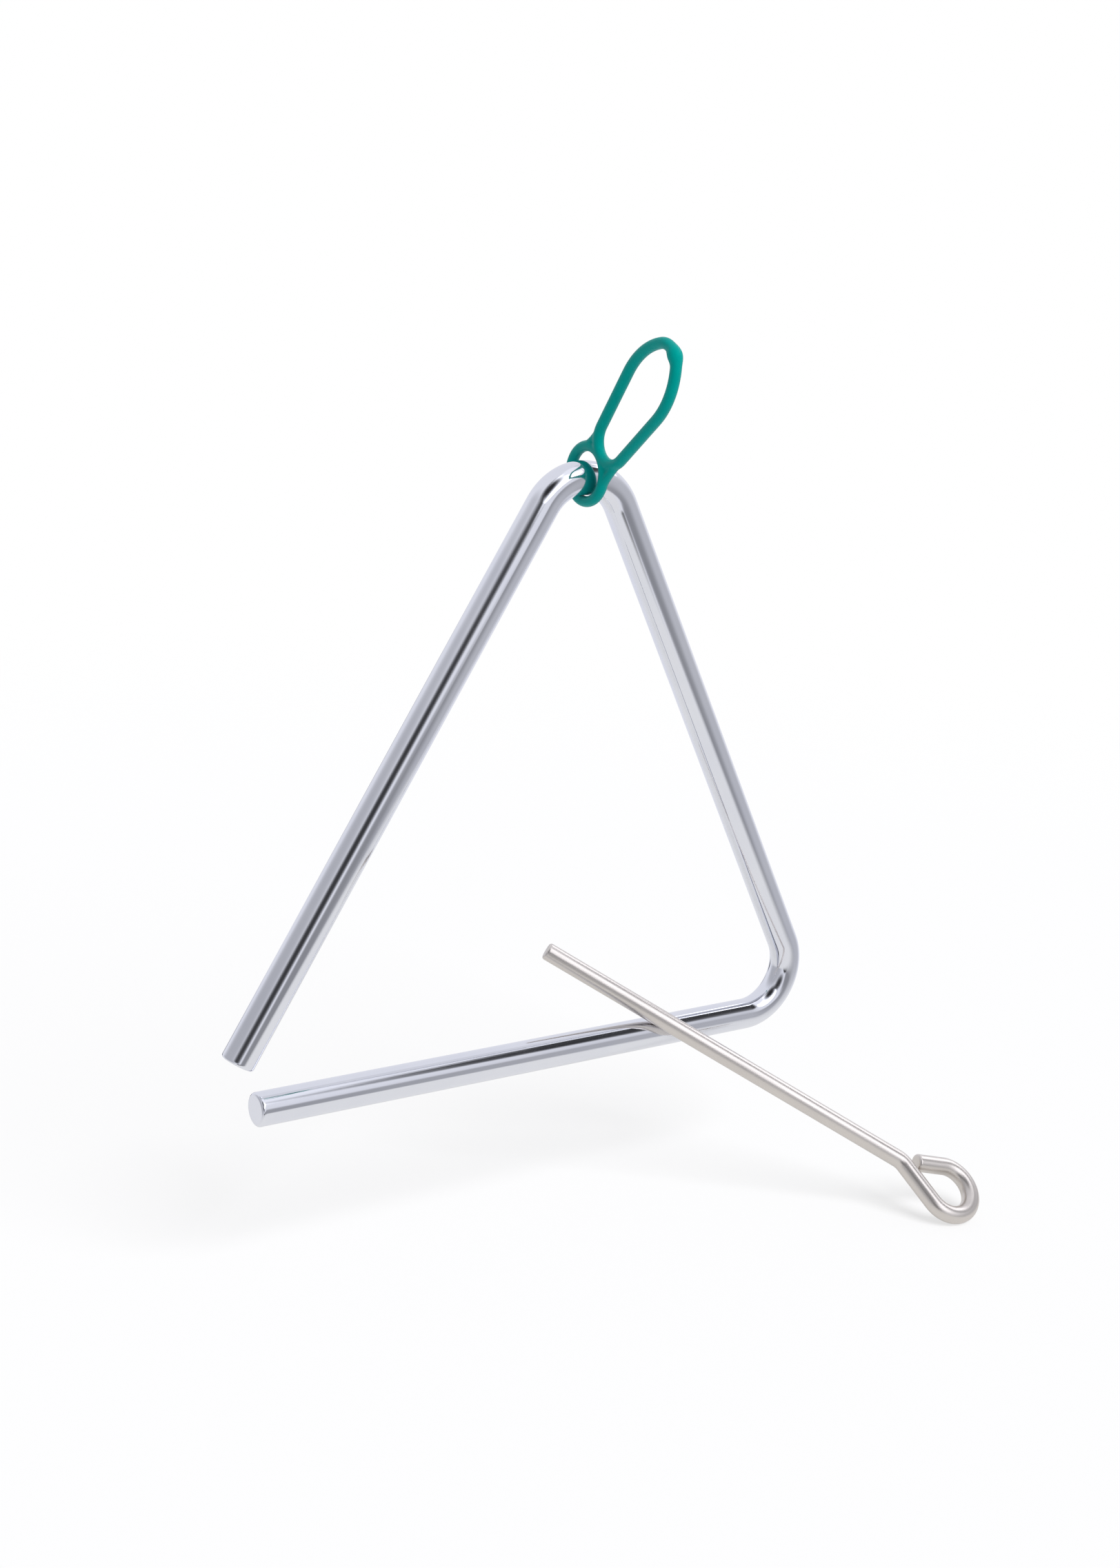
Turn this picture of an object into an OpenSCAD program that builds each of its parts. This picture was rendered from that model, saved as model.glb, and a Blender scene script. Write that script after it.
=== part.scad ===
// Triangle: a bent steel bar with one open corner, a moulded finger hanger and a wire beater.
// The triangle stands in the XZ plane and hangs from the origin, which is where a finger or a hook
// holds the hanger's loop. +Z is up, and -Y is the front.

/* [Triangle bar] */
// Length of each side of the triangle, to the sharp corners of the centre line
limb_l = 180; // [120:0.5:260]
// Diameter of the round bar
bar_d = 8; // [6:0.1:10]
// Radius of the bends, on the bar's centre line
bend_r = 13; // [11:0.5:20]
// Set-back of the left limb's free end from the sharp open corner
left_end_back = 13.9; // [12:0.1:30]
// Set-back of the bottom limb's free end from the sharp open corner
bottom_end_back = 12; // [10:0.1:30]
// Rounding of the bar's cut rims
bar_rim_r = 0.7; // [0.3:0.1:1.5]

/* [Hanger] */
// Thickness of the ring that holds the bar
ring_band_d = 2.6; // [2.4:0.1:3.2]
// Play between the bar and the ring's bore, on the diameter
ring_play = 2.2; // [1.6:0.1:3]
// Gap left between the bar and the ring where the bar hangs in it
seat_gap = 0.2; // [0.1:0.05:0.3]
// Thickness of the finger loop
loop_band_d = 2.6; // [2.4:0.1:3]
// Radius of the finger loop's foot, on its centre line
loop_foot_r = 5.4; // [4.8:0.1:6.5]
// Straight length of each side of the finger loop
loop_side_l = 15.2; // [10:0.1:30]
// Outward lean of each side of the finger loop
loop_side_lean = 8; // [5:0.1:9]
// Radius of the finger loop's shoulders, on the centre line
loop_shoulder_r = 15.6; // [12:0.1:18]
// Radius of the finger loop's top, on the centre line
loop_top_r = 5; // [4.5:0.1:6.5]
// Step between the centre lines of the ring's top and the loop's foot
waist_step = 0.2; // [0.1:0.1:1]
// How far the loop's middle lies below the ring's middle, on the hanger's front side
loop_offset = 1.1; // [0:0.1:1.5]
// Radius of the fillet behind the waist, on its centre line
back_fillet_r = 12; // [8:0.5:16]
// Radius of the fillet in front of the waist, on its centre line
front_fillet_r = 28; // [12:0.5:36]
// Thickness of both fillets
fillet_d = 2.1; // [1.8:0.1:2.3]
// Thickness of the web that fills the waist between the fillets
web_t = 1.3; // [1:0.1:1.4]
// Lean of the hanger towards the front
hanger_lean = 40.8; // [0:0.1:60]
// How far the hanger sits from the middle of the top bend, towards the right limb
hanger_aside = 0.7; // [0:0.1:1.5]

/* [Beater] */
// Diameter of the beater's wire
wire_d = 4.6; // [3.5:0.1:6]
// Length of the straight shaft, from its tip to the sharp corner of the ring's neck
shaft_l = 108.4; // [80:0.1:150]
// Radius of the beater's ring, on the wire's centre line
handle_r = 6.9; // [6.5:0.1:9]
// Distance along the shaft from the neck's sharp corner to the ring's middle
handle_reach = 14.6; // [14:0.1:20]
// How far the ring's middle lies to the neck's side of the shaft
handle_drop = 0.6; // [0:0.1:1.5]
// Bend radius at the ring's neck, on the wire's centre line
neck_r = 5; // [4:0.1:9]
// Gap between the ring's cut end and the neck
cut_end_gap = 0.2; // [0.1:0.05:0.5]
// Rounding of the wire's cut rims
wire_rim_r = 0.6; // [0.3:0.1:1]

/* [Beater's place] */
// Place along the bottom limb, from its middle, where the beater lies across it
rest_x = 35.7; // [-20:0.1:50]
// Length of shaft behind that place
rest_from_tip = 34.9; // [20:0.1:60]
// Gap between the beater and the bottom limb
rest_gap = 0.2; // [0.1:0.05:0.5]
// Turn of the shaft towards the front
beater_yaw = 38.2; // [25:0.1:60]
// Slope of the shaft down towards its ring
beater_slope = 26.8; // [15:0.1:40]
// Roll of the ring's plane about the shaft
beater_roll = 31.6; // [0:0.1:60]

/* [Hidden] */
$fn = 96;

corner = 60;
// How much thinner a bend is than the straight lengths that it joins
thinning = 0.02;
// How far a bend reaches into its neighbours
lap = 0.3;
// How far the web's edge lies inside the fillets' centre lines
web_inset = 0.3;

bar_r = bar_d / 2;
height = limb_l * sin(corner);
bend_tangent = bend_r / tan(corner / 2);
bend_centre = bend_r / sin(corner / 2);
apex_z = height - bend_centre + bend_r;

ring_bore_r = bar_r + ring_play / 2;
ring_r = ring_bore_r + ring_band_d / 2;
ring_rise = ring_bore_r - bar_r - seat_gap;
foot_v = ring_r + waist_step + loop_foot_r;
side_v = foot_v - loop_foot_r * sin(loop_side_lean);
side_u = loop_foot_r * cos(loop_side_lean);
shoulder_u = side_u + loop_side_l * sin(loop_side_lean) - loop_shoulder_r * cos(loop_side_lean);
shoulder_v = side_v + loop_side_l * cos(loop_side_lean) + loop_shoulder_r * sin(loop_side_lean);
shoulder_end = acos(-shoulder_u / (loop_shoulder_r - loop_top_r));
top_v = shoulder_v + (loop_shoulder_r - loop_top_r) * sin(shoulder_end);
hold_v = top_v + loop_top_r - loop_band_d / 2;

foot_distance = norm([loop_offset, foot_v]);
foot_turn = atan2(loop_offset, foot_v);

wire_r = wire_d / 2;
handle_distance = norm([handle_reach, handle_drop]);
handle_turn = atan2(handle_drop, handle_reach);
handle_spread = asin(handle_r / handle_distance);
handle_side_l = handle_distance * cos(handle_spread);
neck_angle = handle_spread + handle_turn;
neck_tangent = neck_r * tan(neck_angle / 2);
// The cut end stops where its inner rim comes to the gap from the first side of the ring
cut_end_l = (wire_r * (1 + cos(2 * handle_spread)) + cut_end_gap) / sin(2 * handle_spread);
rest_reach = bar_r + wire_r + rest_gap;
across_z = cos(beater_slope) * sin(beater_yaw);
across_y = -sin(beater_slope);
across = sqrt(across_y * across_y + across_z * across_z);

// Moves what is drawn round the bottom limb's middle so that the loop's hold point is the origin. The
// ring's centre stands straight above the bar's centre line, on which the ring rests from inside.
module from_bottom_limb() {
    forward = hold_v * sin(hanger_lean) + loop_offset * cos(hanger_lean);
    above = ring_rise + hold_v * cos(hanger_lean) - loop_offset * sin(hanger_lean);
    translate([-hanger_aside, forward, -apex_z - above])
        children();
}

// A round bar along +Z whose far rim is rounded, from a turned profile
module rounded_bar(r, l, rim_r) {
    rotate_extrude() {
        square([r, l - rim_r]);
        square([r - rim_r, l]);
        translate([r - rim_r, l - rim_r])
            intersection() {
                circle(rim_r);
                square(rim_r);
            }
    }
}

// A round bar bent in the XY plane about the origin, from one angle to another. Where it is drawn
// thin, it is a hair thinner than its neighbours and reaches into them, so that they are one solid.
module bent_bar(bend, r, from, to, drawn_thin = true) {
    reach = drawn_thin ? lap / bend * 180 / PI : 0;
    rotate([0, 0, from - reach])
        rotate_extrude(angle = to - from + 2 * reach)
            translate([bend, 0])
                circle(drawn_thin ? r - thinning : r);
}

// The bar, drawn in the XY plane with the bottom limb's middle at the origin
module bar_outline() {
    half = limb_l / 2;
    left_l = limb_l - left_end_back - bend_tangent;
    right_l = limb_l - 2 * bend_tangent;
    bottom_l = limb_l - bottom_end_back - bend_tangent;
    // Left limb, from the top bend down to its free end
    translate([-bend_tangent * cos(corner), height - bend_tangent * sin(corner), 0])
        rotate([0, 90, 180 + corner])
            rounded_bar(bar_r, left_l, bar_rim_r);
    // Top bend
    translate([0, height - bend_centre, 0])
        bent_bar(bend_r, bar_r, corner / 2, 180 - corner / 2);
    // Right limb
    translate([bend_tangent * cos(corner), height - bend_tangent * sin(corner), 0])
        rotate([0, 90, -corner])
            cylinder(h = right_l, r = bar_r);
    // Right bend
    translate([half - bend_tangent, bend_r, 0])
        bent_bar(bend_r, bar_r, -90, corner / 2);
    // Bottom limb, from the right bend to its free end
    translate([half - bend_tangent, 0, 0])
        rotate([0, -90, 0])
            rounded_bar(bar_r, bottom_l, bar_rim_r);
}

module triangle_rod() {
    color([0.80, 0.81, 0.84])
        from_bottom_limb()
            rotate([90, 0, 0])
                bar_outline();
}

// One side of the finger loop: the straight side and the shoulder
module loop_side(r) {
    translate([side_u, side_v, 0])
        rotate([0, 90, 90 - loop_side_lean])
            cylinder(h = loop_side_l, r = r);
    translate([shoulder_u, shoulder_v, 0])
        bent_bar(loop_shoulder_r, r, -loop_side_lean, shoulder_end);
}

// The middle of a waist fillet, which lies one fillet radius outside both the ring and the loop's
// foot: its distance from the ring's centre along the hanger, and to the side
function fillet_along(r) =
    (pow(foot_distance, 2) + pow(ring_r + r, 2) - pow(loop_foot_r + r, 2)) / (2 * foot_distance);
function fillet_aside(r) = sqrt(pow(ring_r + r, 2) - pow(fillet_along(r), 2));

// The concave fillet that leads the ring's side into the loop's foot
module waist_fillet(r) {
    along = fillet_along(r);
    aside = fillet_aside(r);
    translate([aside, along, 0])
        bent_bar(r, fillet_d / 2, 180 - atan2(foot_distance - along, aside), 180 + atan2(along, aside));
}

// The thin web inside the waist. It reaches the centre lines of the ring and of the loop's foot, and
// ends inside both fillets.
module waist_web() {
    back = [fillet_aside(back_fillet_r), fillet_along(back_fillet_r)];
    front = [-fillet_aside(front_fillet_r), fillet_along(front_fillet_r)];
    translate([0, 0, -web_t / 2])
        linear_extrude(web_t)
            difference() {
                polygon([[0, 0], back, [0, foot_distance], front]);
                circle(ring_r);
                translate([0, foot_distance])
                    circle(loop_foot_r);
                translate(back)
                    circle(back_fillet_r + web_inset);
                translate(front)
                    circle(front_fillet_r + web_inset);
            }
}

// The finger loop, drawn along +Y with its middle on the Y axis
module finger_loop() {
    r = loop_band_d / 2;
    translate([0, foot_v, 0])
        bent_bar(loop_foot_r, r, -180 + loop_side_lean, -loop_side_lean);
    for (turned = [0, 1])
        mirror([turned, 0, 0])
            loop_side(r);
    translate([0, top_v, 0])
        bent_bar(loop_top_r, r, shoulder_end, 180 - shoulder_end, false);
}

// The hanger, drawn in the XY plane with the ring's centre at the origin and the loop along +Y
module hanger_outline() {
    rotate_extrude()
        translate([ring_r, 0])
            circle(ring_band_d / 2);
    translate([-loop_offset, 0, 0])
        finger_loop();
    rotate([0, 0, foot_turn]) {
        waist_fillet(back_fillet_r);
        mirror([1, 0, 0])
            waist_fillet(front_fillet_r);
        waist_web();
    }
}

module hanger() {
    color([0.0, 0.55, 0.51])
        rotate([hanger_lean, 0, 0])
            translate([0, loop_offset, -hold_v])
                rotate([90, 0, 90])
                    hanger_outline();
}

// The beater's ring with its two straight sides, drawn from the neck's sharp corner along +X
module beater_ring() {
    rotate([0, 90, -handle_spread])
        translate([0, 0, neck_tangent])
            cylinder(h = handle_side_l - neck_tangent, r = wire_r);
    translate([handle_distance, 0, 0])
        bent_bar(handle_r, wire_r, -90 - handle_spread, 90 + handle_spread);
    translate([handle_side_l * cos(handle_spread), handle_side_l * sin(handle_spread), 0])
        rotate([0, 90, 180 + handle_spread])
            rounded_bar(wire_r, handle_side_l - cut_end_l, wire_rim_r);
}

// The beater, drawn along +X in the XY plane with the neck's sharp corner at the origin
module beater_outline() {
    translate([-neck_tangent, 0, 0])
        rotate([0, -90, 0])
            rounded_bar(wire_r, shaft_l - neck_tangent, wire_rim_r);
    translate([-neck_tangent, -neck_r, 0])
        bent_bar(neck_r, wire_r, 90 - neck_angle, 90);
    rotate([0, 0, -handle_turn])
        beater_ring();
}

module beater() {
    color([0.78, 0.77, 0.75])
        from_bottom_limb()
            translate([rest_x, rest_reach * across_y / across, rest_reach * across_z / across])
                rotate([beater_roll, beater_slope, -beater_yaw])
                    translate([shaft_l - rest_from_tip, 0, 0])
                        beater_outline();
}

triangle_rod();
hanger();
beater();
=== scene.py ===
import math

import bmesh
import bpy
from mathutils import Matrix, Vector


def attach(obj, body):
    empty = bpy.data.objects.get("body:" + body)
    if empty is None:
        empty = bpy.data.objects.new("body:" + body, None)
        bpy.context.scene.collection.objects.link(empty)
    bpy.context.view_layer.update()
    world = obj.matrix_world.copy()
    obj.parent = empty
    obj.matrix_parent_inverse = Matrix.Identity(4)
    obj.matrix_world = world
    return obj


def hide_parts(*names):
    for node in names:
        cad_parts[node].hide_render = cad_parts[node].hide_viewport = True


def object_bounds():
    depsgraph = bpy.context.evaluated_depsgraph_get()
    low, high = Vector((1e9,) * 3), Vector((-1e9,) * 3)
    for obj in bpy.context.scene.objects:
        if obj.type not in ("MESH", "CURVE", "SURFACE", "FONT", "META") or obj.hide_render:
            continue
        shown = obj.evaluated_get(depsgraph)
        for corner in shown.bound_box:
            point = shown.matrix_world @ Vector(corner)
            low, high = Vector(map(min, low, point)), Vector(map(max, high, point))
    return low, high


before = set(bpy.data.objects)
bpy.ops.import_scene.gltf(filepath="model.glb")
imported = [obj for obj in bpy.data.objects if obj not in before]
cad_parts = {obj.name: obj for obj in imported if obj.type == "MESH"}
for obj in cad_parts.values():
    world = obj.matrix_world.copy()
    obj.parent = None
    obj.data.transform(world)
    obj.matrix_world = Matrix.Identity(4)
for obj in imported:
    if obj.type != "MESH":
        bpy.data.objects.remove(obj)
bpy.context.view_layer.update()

mm = 0.001


# Triangle bar
# One length of 8 mm round steel, bent twice into an equal-sided triangle that stays open at its
# lower left corner. Both ends are cut square with eased rims, and it is polished and chromed.
bar_r = 4 * mm
bar_rim_r = 0.7 * mm
bar_bend_r = 13 * mm
limb_l = 180 * mm
left_end_back = 13.9 * mm
bottom_end_back = 12 * mm
bend_takes = bar_bend_r / math.tan(math.radians(30))
# Where the bottom limb's middle lies when the hanger's loop is held at the origin, as in the CAD
limb_middle = Vector((-0.7, 26.40931, -172.69660)) * mm
limb_place = Matrix.Translation(limb_middle) @ Matrix.Rotation(math.radians(90), 4, "X")
SEGMENTS = 80
RIM_STEPS = 6
# Width of the narrow bands of faces that keep the smooth shading flat beside a rim or a bend
NARROW = 0.25 * mm


def tube_start(r, rim_r, at, heading):
    """Starts a wire in the XY plane at its cut end, and rounds that end's rim."""
    mesh = bmesh.new()
    place = mesh.verts.layers.float_vector.new("drawn")
    turn = Vector((0, 0, 1)).rotation_difference(heading).to_matrix().to_4x4()
    made = bmesh.ops.create_circle(
        mesh, cap_ends=True, radius=r - rim_r, segments=SEGMENTS, matrix=Matrix.Translation(at) @ turn,
    )
    for i, v in enumerate(made["verts"]):
        a = 2 * math.pi * i / SEGMENTS
        v[place] = (0, math.cos(a), math.sin(a))
    bmesh.ops.inset_individual(mesh, faces=mesh.faces[:], thickness=NARROW, depth=0, use_even_offset=True)
    rim = [e for e in mesh.edges if e.is_boundary]
    tube = {
        "mesh": mesh, "place": place, "rim": rim, "at": Vector(at), "heading": Vector(heading),
        "run": 0.0, "r": r - rim_r,
    }
    for step in range(1, RIM_STEPS + 1):
        a = math.radians(90) * step / RIM_STEPS
        before = math.radians(90) * (step - 1) / RIM_STEPS
        tube_on(tube, rim_r * (math.cos(before) - math.cos(a)), r - rim_r + rim_r * math.sin(a))
    return tube


def tube_on(tube, length, r=None):
    """Draws the wire straight on, to a new radius where one is given. A long length gets a narrow
    band of faces at each end, so that its smooth shading stays straight up to the bends."""
    if length > 4 * NARROW:
        for part in (NARROW, length - 2 * NARROW, NARROW):
            tube_step(tube, part, r)
    else:
        tube_step(tube, length, r)


def tube_step(tube, length, r=None):
    """Draws one more rim of the wire."""
    mesh = tube["mesh"]
    made = bmesh.ops.extrude_edge_only(mesh, edges=tube["rim"])["geom"]
    points = [g for g in made if isinstance(g, bmesh.types.BMVert)]
    bmesh.ops.translate(mesh, verts=points, vec=tube["heading"] * length)
    tube["at"] += tube["heading"] * length
    tube_rim(tube, made, points, length)
    if r is not None:
        tube_size(tube, r)


def tube_size(tube, r):
    """Gives the wire's newest rim another radius."""
    k = r / tube["r"]
    points = list({v for e in tube["rim"] for v in e.verts})
    bmesh.ops.scale(tube["mesh"], verts=points, vec=(k, k, k), space=Matrix.Translation(-tube["at"]))
    tube["r"] = r


def tube_bend(tube, bend_r, degrees, steps):
    """Bends the wire in the XY plane, to the left where the angle is positive."""
    side = Vector((0, 0, 1)).cross(tube["heading"]) * math.copysign(1, degrees)
    centre = tube["at"] + side * bend_r
    step = math.radians(degrees) / steps
    for _ in range(steps):
        geom = tube["rim"] + list({v for e in tube["rim"] for v in e.verts})
        made = bmesh.ops.spin(
            tube["mesh"], geom=geom, cent=centre, axis=(0, 0, 1), angle=step, steps=1,
            use_duplicate=False, use_merge=False,
        )["geom_last"]
        points = [g for g in made if isinstance(g, bmesh.types.BMVert)]
        turn = Matrix.Rotation(step, 3, "Z")
        tube["at"] = centre + turn @ (tube["at"] - centre)
        tube["heading"] = turn @ tube["heading"]
        tube_rim(tube, made, points, abs(step) * bend_r)


def tube_rim(tube, made, points, length):
    """Keeps the newly made rim, and how far along the wire it lies."""
    new = set(points)
    tube["rim"] = [g for g in made if isinstance(g, bmesh.types.BMEdge) and new.issuperset(g.verts)]
    tube["run"] += length
    for v in points:
        x, y, z = v[tube["place"]]
        v[tube["place"]] = (tube["run"], y, z)


def tube_end(tube, rim_r):
    """Rounds the rim of the far end and closes it."""
    full = tube["r"]
    for step in range(1, RIM_STEPS + 1):
        a = math.radians(90) * step / RIM_STEPS
        before = math.radians(90) * (step - 1) / RIM_STEPS
        tube_on(tube, rim_r * (math.sin(a) - math.sin(before)), full - rim_r + rim_r * math.cos(a))
    cap = bmesh.ops.contextual_create(tube["mesh"], geom=tube["rim"])["faces"]
    bmesh.ops.inset_individual(tube["mesh"], faces=cap, thickness=NARROW, depth=0, use_even_offset=True)


def finished(mesh, name, place):
    """Makes a drawn mesh an object, put in its place, with its faces outwards and smooth."""
    bmesh.ops.transform(mesh, matrix=place, verts=mesh.verts)
    bmesh.ops.recalc_face_normals(mesh, faces=mesh.faces)
    for f in mesh.faces:
        f.smooth = True
    data = bpy.data.meshes.new(name)
    mesh.to_mesh(data)
    mesh.free()
    piece = bpy.data.objects.new(name, data)
    bpy.context.scene.collection.objects.link(piece)
    return piece


slope = Vector((math.cos(math.radians(60)), math.sin(math.radians(60)), 0))
tube = tube_start(bar_r, bar_rim_r, Vector((-limb_l / 2, 0, 0)) + slope * left_end_back, slope)
tube_on(tube, limb_l - left_end_back - bend_takes - bar_rim_r)
tube_bend(tube, bar_bend_r, -120, 40)
tube_on(tube, limb_l - 2 * bend_takes)
tube_bend(tube, bar_bend_r, -120, 40)
tube_on(tube, limb_l - bottom_end_back - bend_takes - bar_rim_r)
tube_end(tube, bar_rim_r)
bar = finished(tube["mesh"], "triangle_bar", limb_place)
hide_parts("triangle_rod")
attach(bar, "triangle")


def linear(hex_colour):
    """An sRGB hex colour as linear RGBA."""
    parts = [int(hex_colour[i:i + 2], 16) / 255 for i in (1, 3, 5)]
    return (*[c / 12.92 if c <= 0.04045 else ((c + 0.055) / 1.055) ** 2.4 for c in parts], 1)


def add(tree, kind, settings=(), **links):
    """Adds a node. Settings are its properties; links are its inputs, each a value or a socket."""
    node = tree.nodes.new(kind)
    for key, value in dict(settings).items():
        setattr(node, key, value)
    for key, value in links.items():
        numbered = key[0] == "i" and key[1:].isdigit()
        socket = node.inputs[int(key[1:]) if numbered else key.replace("_", " ")]
        if isinstance(value, bpy.types.NodeSocket):
            tree.links.new(value, socket)
        else:
            socket.default_value = value
    return node


def new_material(name):
    material = bpy.data.materials.new(name)
    material.use_nodes = True
    tree = material.node_tree
    tree.nodes.clear()
    return material, tree


# Decorative chromium over polished steel: a cold, near mirror face. The plating is a little wavy
# and handling leaves it slightly duller in places, so that reflections keep soft, uneven edges.
chrome, tree = new_material("polished_chrome_plate")
spot = add(tree, "ShaderNodeTexCoord").outputs["Object"]
drawn = add(tree, "ShaderNodeAttribute", {"attribute_name": "drawn"}).outputs["Vector"]
handled = add(
    tree, "ShaderNodeTexNoise", Vector=spot, Scale=1 / (14 * mm), Detail=3.0, Roughness=0.6,
).outputs["Fac"]
tint = add(
    tree, "ShaderNodeMix", {"data_type": "RGBA"}, i0=handled, i6=linear("#E4E6EE"), i7=linear("#EFF0F4"),
).outputs[2]
lines = add(
    tree, "ShaderNodeTexNoise",
    Vector=add(tree, "ShaderNodeMapping", Vector=drawn, Scale=(1 / (30 * mm), 9, 9)).outputs["Vector"],
    Scale=1.0, Detail=4.0,
).outputs["Fac"]
dull = add(tree, "ShaderNodeMath", {"operation": "MULTIPLY"}, i0=handled, i1=lines).outputs[0]
rough = add(tree, "ShaderNodeMapRange", i0=dull, i1=0.12, i2=0.42, i3=0.045, i4=0.11).outputs[0]
waves = add(tree, "ShaderNodeTexNoise", Vector=spot, Scale=1 / (6 * mm), Detail=1.0).outputs["Fac"]
bump = add(tree, "ShaderNodeBump", Strength=0.06, Distance=0.05 * mm, Height=waves).outputs[0]
shader = add(tree, "ShaderNodeBsdfPrincipled", Base_Color=tint, Metallic=1.0, Roughness=rough, Normal=bump)
add(tree, "ShaderNodeOutputMaterial", Surface=shader.outputs[0])
bar.data.materials.append(chrome)


# Hanger
# One injection moulding in soft teal plastic: a small ring that the bar's top bend hangs in and a
# long finger loop, joined by the band that they share. It is threaded on over the bar's free end.
ring_r = 6.4 * mm
ring_band_r = 1.3 * mm
# A little over its real 1.3 mm, which the relaxing of the skin brings it back to
loop_band_r = 1.34 * mm
loop_swell_r = 1.75 * mm
swell_peak_share = 0.68
swell_reach_share = 0.32
foot_r = 5.4 * mm
waist_step = 0.2 * mm
foot_v = ring_r + waist_step + foot_r
side_l = 15.2 * mm
side_lean = 8
shoulder_r = 15.6 * mm
top_r = 5 * mm
loop_offset = 1.1 * mm
back_fillet_r = 12 * mm
front_fillet_r = 28 * mm
fillet_band_r = 1.05 * mm
web_t = 1.3 * mm
hanger_lean = 40.8
cad_band_r = 1.3 * mm
lean = math.radians(side_lean)
shoulder_u = foot_r * math.cos(lean) + side_l * math.sin(lean) - shoulder_r * math.cos(lean)
shoulder_v = foot_v - foot_r * math.sin(lean) + side_l * math.cos(lean) + shoulder_r * math.sin(lean)
shoulder_turn = math.acos(-shoulder_u / (shoulder_r - top_r))
shoulder_end = math.degrees(shoulder_turn)
hold_v = shoulder_v + (shoulder_r - top_r) * math.sin(shoulder_turn) + top_r - cad_band_r
hanger_place = (
    Matrix.Rotation(math.radians(hanger_lean), 4, "X")
    @ Matrix.Translation((0, loop_offset, -hold_v))
    @ Matrix.Rotation(math.radians(90), 4, "Z") @ Matrix.Rotation(math.radians(90), 4, "X")
)
# Rounding of the band's ends, and how far the loop's two ends lap, both hidden in the fused skin
band_rim_r = 0.2 * mm
loop_lap = 0.1 * mm
TOP_STEPS = 40
VOXEL = 0.2 * mm
RELAXINGS = 8

hanger_mesh = bmesh.new()


def join(mesh, other, move=Matrix()):
    """Puts a drawn tube into the hanger's mesh."""
    bmesh.ops.transform(other, matrix=move, verts=other.verts)
    held = bpy.data.meshes.new("held")
    other.to_mesh(held)
    other.free()
    mesh.from_mesh(held)
    bpy.data.meshes.remove(held)


def on_arc(centre, r, start, end, steps):
    """Points on an arc in the XY plane, with the angles in degrees."""
    angles = [math.radians(start + (end - start) * i / steps) for i in range(steps + 1)]
    return [Vector((centre[0] + r * math.cos(a), centre[1] + r * math.sin(a), 0)) for a in angles]


def arc_tube(r, centre, bend_r, start, end):
    """A closed length of round band bent about a centre, for a fillet."""
    a = math.radians(start)
    at = on_arc(centre, bend_r, start, end, 1)[0]
    tube = tube_start(r, band_rim_r, at, Vector((-math.sin(a), math.cos(a), 0)))
    tube_bend(tube, bend_r, end - start, 16)
    tube_end(tube, band_rim_r)
    return tube["mesh"]


ring = bmesh.new()
bmesh.ops.create_circle(
    ring, segments=48, radius=ring_band_r,
    matrix=Matrix.Translation((ring_r, 0, 0)) @ Matrix.Rotation(math.radians(90), 4, "X"),
)
bmesh.ops.spin(
    ring, geom=ring.verts[:] + ring.edges[:], cent=(0, 0, 0), axis=(0, 0, 1), angle=2 * math.pi,
    steps=96, use_merge=True, use_duplicate=False,
)
join(hanger_mesh, ring)

# The loop's band swells a little at the front of its top, where the mould was filled.
loop_start = Vector((-band_rim_r - loop_lap - loop_offset, foot_v - foot_r, 0))
loop = tube_start(loop_band_r, band_rim_r, loop_start, Vector((1, 0, 0)))
tube_on(loop, loop_lap)
tube_bend(loop, foot_r, 90 - side_lean, 20)
tube_on(loop, side_l)
tube_bend(loop, shoulder_r, side_lean + shoulder_end, 24)
for step in range(1, TOP_STEPS + 1):
    tube_bend(loop, top_r, (180 - 2 * shoulder_end) / TOP_STEPS, 1)
    from_peak = min(abs(step / TOP_STEPS - swell_peak_share) / swell_reach_share, 1)
    swollen = 0.5 + 0.5 * math.cos(math.pi * from_peak)
    tube_size(loop, loop_band_r + (loop_swell_r - loop_band_r) * swollen)
tube_bend(loop, shoulder_r, side_lean + shoulder_end, 24)
tube_on(loop, side_l)
tube_bend(loop, foot_r, 90 - side_lean, 20)
tube_on(loop, loop_lap)
tube_end(loop, band_rim_r)
join(hanger_mesh, loop["mesh"])

# Two fillets lead the ring's sides into the loop's foot, and a thin web fills the waist between.
foot_distance = math.hypot(loop_offset, foot_v)
foot_turn = Matrix.Rotation(math.atan2(loop_offset, foot_v), 4, "Z")
web_points = []
for fillet_r, mirrored in ((back_fillet_r, 1), (front_fillet_r, -1)):
    along = (foot_distance ** 2 + (ring_r + fillet_r) ** 2 - (foot_r + fillet_r) ** 2) / (2 * foot_distance)
    aside = math.sqrt((ring_r + fillet_r) ** 2 - along ** 2)
    at_foot = 180 - math.degrees(math.atan2(foot_distance - along, aside))
    at_ring = 180 + math.degrees(math.atan2(along, aside))
    mirror = Matrix.Diagonal((mirrored, 1, 1, 1))
    fillet = arc_tube(fillet_band_r, (aside, along, 0), fillet_r, at_foot, at_ring)
    join(hanger_mesh, fillet, foot_turn @ mirror)
    half = on_arc((0, 0), ring_r, 90, at_ring - 180, 16)
    half += on_arc((aside, along), fillet_r, at_ring, at_foot, 12)[1:-1]
    half += on_arc((0, foot_distance), foot_r, at_foot - 180, -90, 16)
    half = [mirror @ v for v in half]
    web_points += half if mirrored == 1 else half[-2:0:-1]
web = bmesh.new()
outline = [web.verts.new(v) for v in web_points]
face = web.faces.new(outline)
bmesh.ops.translate(web, verts=outline, vec=(0, 0, -web_t / 2))
raised = bmesh.ops.extrude_face_region(web, geom=[face], use_keep_orig=True)["geom"]
raised_points = [g for g in raised if isinstance(g, bmesh.types.BMVert)]
bmesh.ops.translate(web, verts=raised_points, vec=(0, 0, web_t))
join(hanger_mesh, web, foot_turn)
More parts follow.
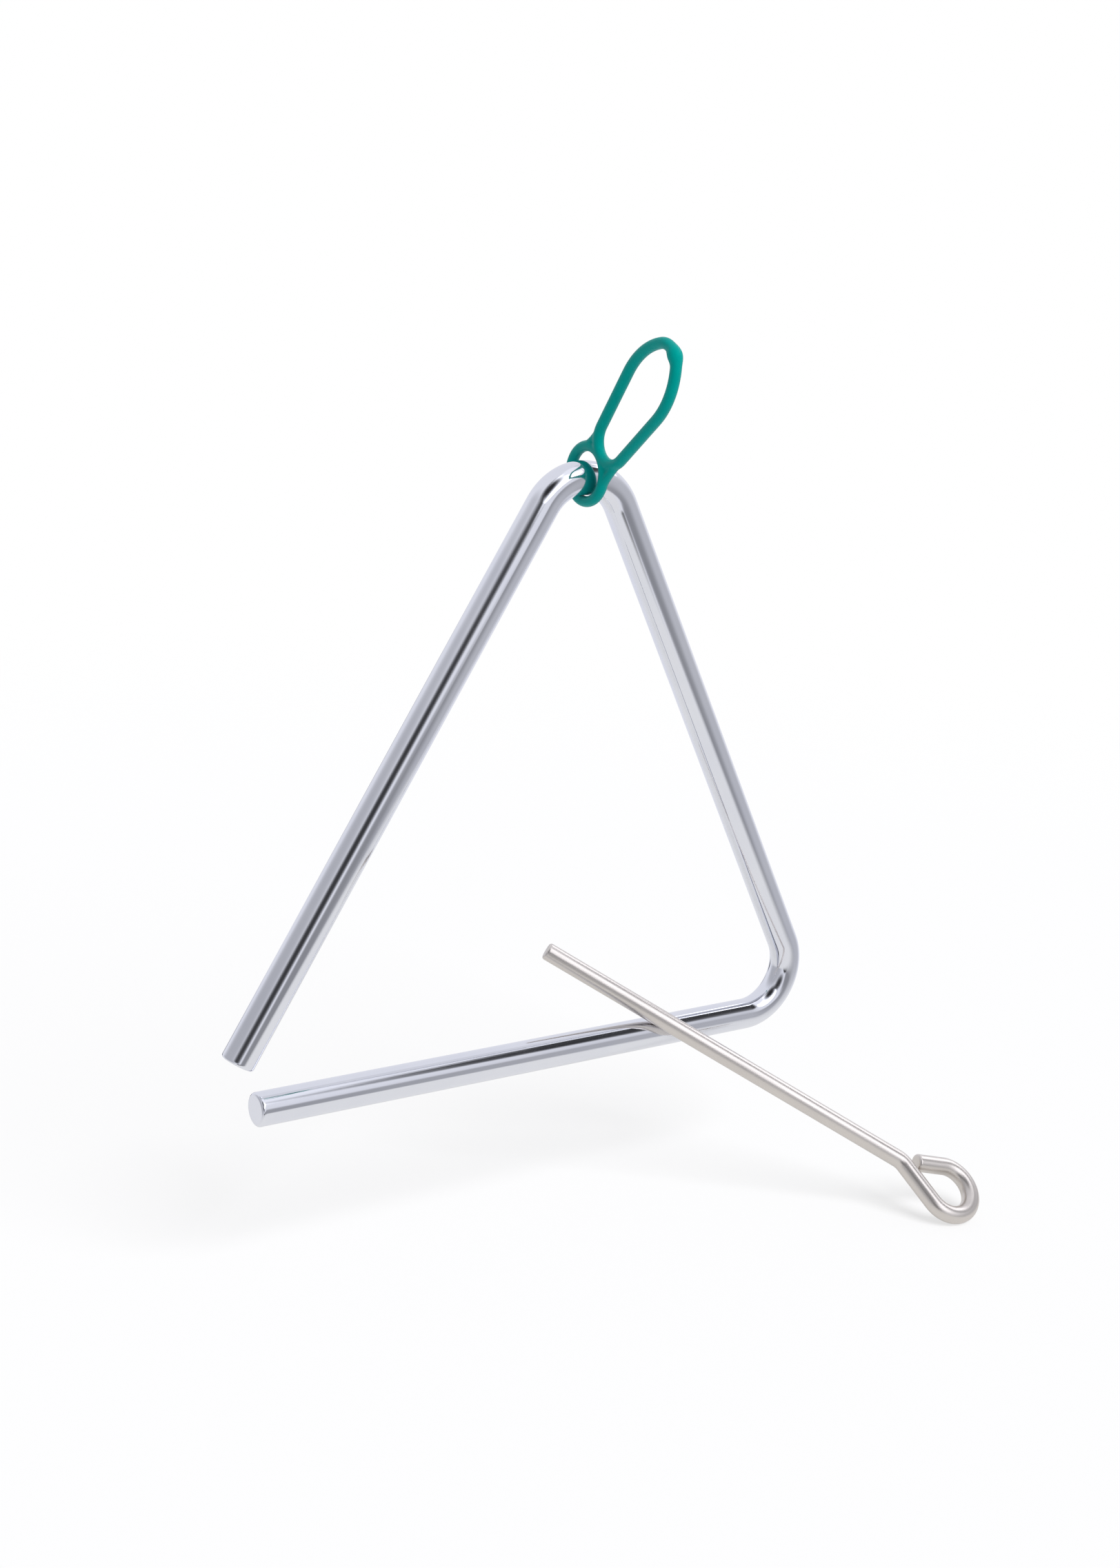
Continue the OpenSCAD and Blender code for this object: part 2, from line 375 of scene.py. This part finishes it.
bmesh.ops.recalc_face_normals(hanger_mesh, faces=hanger_mesh.faces)

# The tubes are fused into one skin, as the moulding is, and the skin is relaxed so that the
# corners between them become the mould's small fillets.
hanger = finished(hanger_mesh, "finger_hanger", Matrix())
fuse = hanger.modifiers.new("fuse", "REMESH")
fuse.mode = "VOXEL"
fuse.voxel_size = VOXEL
fused = bpy.data.meshes.new_from_object(hanger.evaluated_get(bpy.context.evaluated_depsgraph_get()))
hanger.modifiers.clear()
skin = bmesh.new()
skin.from_mesh(fused)
for _ in range(RELAXINGS):
    bmesh.ops.smooth_vert(
        skin, verts=skin.verts, factor=0.5, use_axis_x=True, use_axis_y=True, use_axis_z=True,
    )
bmesh.ops.transform(skin, matrix=hanger_place, verts=skin.verts)
bmesh.ops.recalc_face_normals(skin, faces=skin.faces)
for f in skin.faces:
    f.smooth = True
skin.to_mesh(hanger.data)
skin.free()
bpy.data.meshes.remove(fused)
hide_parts("hanger")
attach(hanger, "hanger")

# Pigmented soft plastic from a lightly textured mould: an even, half glossy teal with faint flow
# marks, and the fine raised line where the mould's two halves met.
teal, tree = new_material("moulded_teal_plastic")
spot = add(tree, "ShaderNodeTexCoord").outputs["Object"]
flow = add(tree, "ShaderNodeTexNoise", Vector=spot, Scale=1 / (5 * mm), Detail=3.0).outputs["Fac"]
tint = add(
    tree, "ShaderNodeMix", {"data_type": "RGBA"}, i0=flow, i6=linear("#008D87"), i7=linear("#009B94"),
).outputs[2]
rough = add(tree, "ShaderNodeMapRange", i0=flow, i1=0.3, i2=0.7, i3=0.34, i4=0.46).outputs[0]
across = add(tree, "ShaderNodeSeparateXYZ", Vector=spot).outputs["X"]
off_line = add(tree, "ShaderNodeMath", {"operation": "ABSOLUTE"}, i0=across).outputs[0]
parting = add(
    tree, "ShaderNodeMapRange", {"interpolation_type": "SMOOTHSTEP"},
    i0=off_line, i1=0.12 * mm, i2=0.0, i3=0.0, i4=1.0,
).outputs[0]
grain = add(tree, "ShaderNodeTexNoise", Vector=spot, Scale=1 / (0.35 * mm), Detail=2.0).outputs["Fac"]
height = add(
    tree, "ShaderNodeMath", {"operation": "MULTIPLY_ADD"}, i0=grain, i1=0.2, i2=parting,
).outputs[0]
bump = add(tree, "ShaderNodeBump", Strength=0.35, Distance=0.05 * mm, Height=height).outputs[0]
shader = add(
    tree, "ShaderNodeBsdfPrincipled", Base_Color=tint, Roughness=rough, Normal=bump, IOR=1.49,
    Specular_IOR_Level=0.3, Specular_Tint=linear("#40C8BC"),
)
add(tree, "ShaderNodeOutputMaterial", Surface=shader.outputs[0])
hanger.data.materials.clear()
hanger.data.materials.append(teal)


# Beater
# One length of 4.6 mm steel wire with a straight striking shaft. Its end is kinked and curled
# into a drop-shaped ring that closes on the shaft, and it is barrel-polished and nickel plated.
wire_r = 2.3 * mm
wire_rim_r = 0.6 * mm
shaft_l = 108.4 * mm
handle_r = 6.9 * mm
handle_reach = 14.6 * mm
handle_drop = 0.6 * mm
neck_r = 5 * mm
cut_end_gap = 0.2 * mm
handle_distance = math.hypot(handle_reach, handle_drop)
spread = math.asin(handle_r / handle_distance)
handle_side_l = handle_distance * math.cos(spread)
neck_angle = spread + math.atan2(handle_drop, handle_reach)
neck_takes = neck_r * math.tan(neck_angle / 2)
cut_end_l = (wire_r * (1 + math.cos(2 * spread)) + cut_end_gap) / math.sin(2 * spread)
rest_x = 35.7 * mm
rest_from_tip = 34.9 * mm
rest_gap = 0.2 * mm
beater_slope, beater_turn, beater_roll = 26.8, 38.2, 31.6
slope_angle, turn_angle, roll_angle = (math.radians(a) for a in (beater_slope, beater_turn, beater_roll))
across_y = -math.sin(slope_angle)
across_z = math.cos(slope_angle) * math.sin(turn_angle)
rest = (bar_r + wire_r + rest_gap) / math.hypot(across_y, across_z)
beater_place = (
    Matrix.Translation(limb_middle + Vector((rest_x, rest * across_y, rest * across_z)))
    @ Matrix.Rotation(-turn_angle, 4, "Z") @ Matrix.Rotation(slope_angle, 4, "Y")
    @ Matrix.Rotation(roll_angle, 4, "X") @ Matrix.Translation((shaft_l - rest_from_tip, 0, 0))
)
wire = tube_start(wire_r, wire_rim_r, Vector((-shaft_l, 0, 0)), Vector((1, 0, 0)))
tube_on(wire, shaft_l - neck_takes - wire_rim_r)
tube_bend(wire, neck_r, -math.degrees(neck_angle), 12)
tube_on(wire, handle_side_l - neck_takes)
tube_bend(wire, handle_r, 180 + 2 * math.degrees(spread), 56)
tube_on(wire, handle_side_l - cut_end_l - wire_rim_r)
tube_end(wire, wire_rim_r)
beater = finished(wire["mesh"], "wire_beater", beater_place)
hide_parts("beater")
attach(beater, "beater")

# Bright nickel on drawn wire: warmer and softer than chrome. The die's fine lines along the wire
# still show through the plating as slightly duller streaks, drawn a little coarser than they are.
nickel, tree = new_material("nickel_plated_wire")
spot = add(tree, "ShaderNodeTexCoord").outputs["Object"]
drawn = add(tree, "ShaderNodeAttribute", {"attribute_name": "drawn"}).outputs["Vector"]
lines = add(
    tree, "ShaderNodeTexNoise",
    Vector=add(tree, "ShaderNodeMapping", Vector=drawn, Scale=(1 / (16 * mm), 6, 6)).outputs["Vector"],
    Scale=1.0, Detail=3.0,
).outputs["Fac"]
stains = add(tree, "ShaderNodeTexNoise", Vector=spot, Scale=1 / (9 * mm), Detail=3.0).outputs["Fac"]
tint = add(
    tree, "ShaderNodeMix", {"data_type": "RGBA"}, i0=stains, i6=linear("#DAD4CE"), i7=linear("#E1DBD5"),
).outputs[2]
rough = add(tree, "ShaderNodeMapRange", i0=lines, i1=0.3, i2=0.7, i3=0.29, i4=0.37).outputs[0]
bump = add(tree, "ShaderNodeBump", Strength=0.04, Distance=0.03 * mm, Height=lines).outputs[0]
shader = add(tree, "ShaderNodeBsdfPrincipled", Base_Color=tint, Metallic=1.0, Roughness=rough, Normal=bump)
add(tree, "ShaderNodeOutputMaterial", Surface=shader.outputs[0])
beater.data.materials.append(nickel)


# Camera
# It stands at the photograph's place, fitted to the triangle's outline there: in front and to the
# left, looking 14 degrees down on the object and rolled a little.
camera = bpy.data.objects.new("camera", bpy.data.cameras.new("camera"))
bpy.context.scene.collection.objects.link(camera)
camera.location = (-268.849 * mm, -334.7802 * mm, 10.5553 * mm)
camera.rotation_euler = [math.radians(a) for a in (75.7824, -4.4620, -35.4718)]
camera.data.lens = 44.3272
camera.data.sensor_width = 36
camera.data.clip_start = 0.01
camera.data.dof.use_dof = False
bpy.context.scene.camera = camera


# Floor
# A plain white sheet under the beater's ring, its lowest point. It fades into the white of the
# background, and only keeps the object's shadow.
floor_gap = 0.05 * mm
floor_half_l = 3000 * mm
floor_white_share = 0.6
mirrored_floor_white = 0.74
floor_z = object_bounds()[0].z - floor_gap
sheet = bmesh.new()
bmesh.ops.create_grid(
    sheet, x_segments=1, y_segments=1, size=floor_half_l, matrix=Matrix.Translation((0, 0, floor_z)),
)
floor = finished(sheet, "floor", Matrix())
paper, tree = new_material("white_paper")
spot = add(tree, "ShaderNodeTexCoord").outputs["Object"]
flat = add(tree, "ShaderNodeVectorMath", {"operation": "MULTIPLY"}, i0=spot, i1=(1, 1, 0)).outputs[0]
away = add(tree, "ShaderNodeVectorMath", {"operation": "LENGTH"}, i0=flat).outputs["Value"]
light_path = add(tree, "ShaderNodeLightPath").outputs
seen = add(
    tree, "ShaderNodeMath", {"operation": "MAXIMUM"},
    i0=light_path["Is Camera Ray"], i1=light_path["Is Glossy Ray"],
).outputs[0]
part_white = add(tree, "ShaderNodeMath", {"operation": "MULTIPLY"}, i0=seen, i1=floor_white_share).outputs[0]
matt = add(tree, "ShaderNodeBsdfDiffuse", Color=linear("#F4F4F6"))
glow = add(
    tree, "ShaderNodeMix", {"data_type": "FLOAT"},
    i0=light_path["Is Glossy Ray"], i2=1.0, i3=mirrored_floor_white,
).outputs[0]
white = add(tree, "ShaderNodeEmission", Color=(1, 1, 1, 1), Strength=glow)
lit = add(tree, "ShaderNodeMixShader", i0=part_white, i1=matt.outputs[0], i2=white.outputs[0])
sheet_fade, mirror_fade = (
    add(
        tree, "ShaderNodeMapRange", {"interpolation_type": "SMOOTHSTEP"},
        i0=away, i1=near, i2=far, i3=0.0, i4=1.0,
    ).outputs[0]
    for near, far in ((300 * mm, 900 * mm), (100 * mm, 250 * mm))
)
fade = add(
    tree, "ShaderNodeMix", {"data_type": "FLOAT"},
    i0=light_path["Is Glossy Ray"], i2=sheet_fade, i3=mirror_fade,
).outputs[0]
clear = add(tree, "ShaderNodeBsdfTransparent")
surface = add(tree, "ShaderNodeMixShader", i0=fade, i1=lit.outputs[0], i2=clear.outputs[0])
add(tree, "ShaderNodeOutputMaterial", Surface=surface.outputs[0])
floor.data.materials.append(paper)


# Studio light
# A bright, even studio with a broad soft lamp high in front. The metal alone mirrors these areas,
# which put its bright and dark streaks where the photograph has them. The studio isn't seen, so the
# areas stand for no known things: they began as a fit to the photograph's reflections, and were
# then thinned out and rounded. Each is a direction seen from the object (0 behind it, 180 in front,
# 90 on the right), the angles from its middle where it is still full and where it has gone, and its
# brightness. A later one covers an earlier one.
studio_white = 0.85
fill_grey = 0.50
world = bpy.data.worlds.new("studio")
bpy.context.scene.world = world
world.use_nodes = True
tree = world.node_tree
tree.nodes.clear()
light_path = add(tree, "ShaderNodeLightPath").outputs
direction = add(tree, "ShaderNodeTexCoord").outputs["Generated"]
cool = Vector((0.96, 0.97, 1.04))
mirrored = (*cool * studio_white, 1)
for azimuth, elevation, inner, outer, brightness in (
    (-80, 0, 25, 60, 0.50),  # grey, wide on the left
    (140, -15, 25, 35, 0.35),  # dim, low in front on the right
    (180, -15, 12, 25, 0.30),  # dim, straight in front
    (90, 45, 16, 18, 2.30),  # bright, high on the right
    (80, 60, 12, 14, 0.75),  # grey, above that
    (125, 40, 5, 15, 0.04),  # dark, between the two bright areas
    (115, 50, 8, 10, 0.05),  # dark, its narrow upper end
    (-142, 18, 0, 26, 0.05),  # dark, in front on the left
    (185, 50, 27, 29, 2.10),  # bright and large, high in front
    (-150, -25, 15, 20, 0.02),  # dark, low in front on the left
    (115, 0, 10, 45, 0.55),  # grey, wide on the right
    (135, 70, 12, 20, 1.00),  # white, near the top in front
    (-145, 50, 5, 30, 0.03),  # dark, left of the large bright area
    (0, -15, 2, 10, 0.06),  # dark, low behind, for the back of the bar
    (15, -5, 0, 7, 0.40),  # dim, beside that
):
    a, e = math.radians(azimuth), math.radians(elevation)
    towards = (math.sin(a) * math.cos(e), math.cos(a) * math.cos(e), math.sin(e))
    facing = add(
        tree, "ShaderNodeVectorMath", {"operation": "DOT_PRODUCT"}, i0=direction, i1=towards,
    ).outputs["Value"]
    share = add(
        tree, "ShaderNodeMapRange", {"interpolation_type": "SMOOTHSTEP"}, i0=facing,
        i1=math.cos(math.radians(outer)), i2=math.cos(math.radians(inner)), i3=0.0, i4=1.0,
    ).outputs[0]
    mirrored = add(
        tree, "ShaderNodeMix", {"data_type": "RGBA"}, i0=share, i6=mirrored, i7=(*cool * brightness, 1),
    ).outputs[2]
around = add(
    tree, "ShaderNodeMix", {"data_type": "RGBA"},
    i0=light_path["Is Glossy Ray"], i6=(fill_grey, fill_grey, fill_grey, 1), i7=mirrored,
).outputs[2]
colour = add(
    tree, "ShaderNodeMix", {"data_type": "RGBA"}, i0=light_path["Is Camera Ray"], i6=around, i7=(1, 1, 1, 1),
).outputs[2]
background = add(tree, "ShaderNodeBackground", Color=colour, Strength=1.0)
add(tree, "ShaderNodeOutputWorld", Surface=background.outputs[0])

lamp = bpy.data.objects.new("broad_lamp", bpy.data.lights.new("broad_lamp", "SUN"))
bpy.context.scene.collection.objects.link(lamp)
lamp.data.energy = 2.45
lamp.data.angle = math.radians(40)
lamp.location = (0.07, -0.4, 0.45)
lamp.rotation_euler = lamp.location.to_track_quat("Z", "Y").to_euler()
lamp.visible_glossy = False

bpy.context.scene.view_settings.view_transform = "Standard"
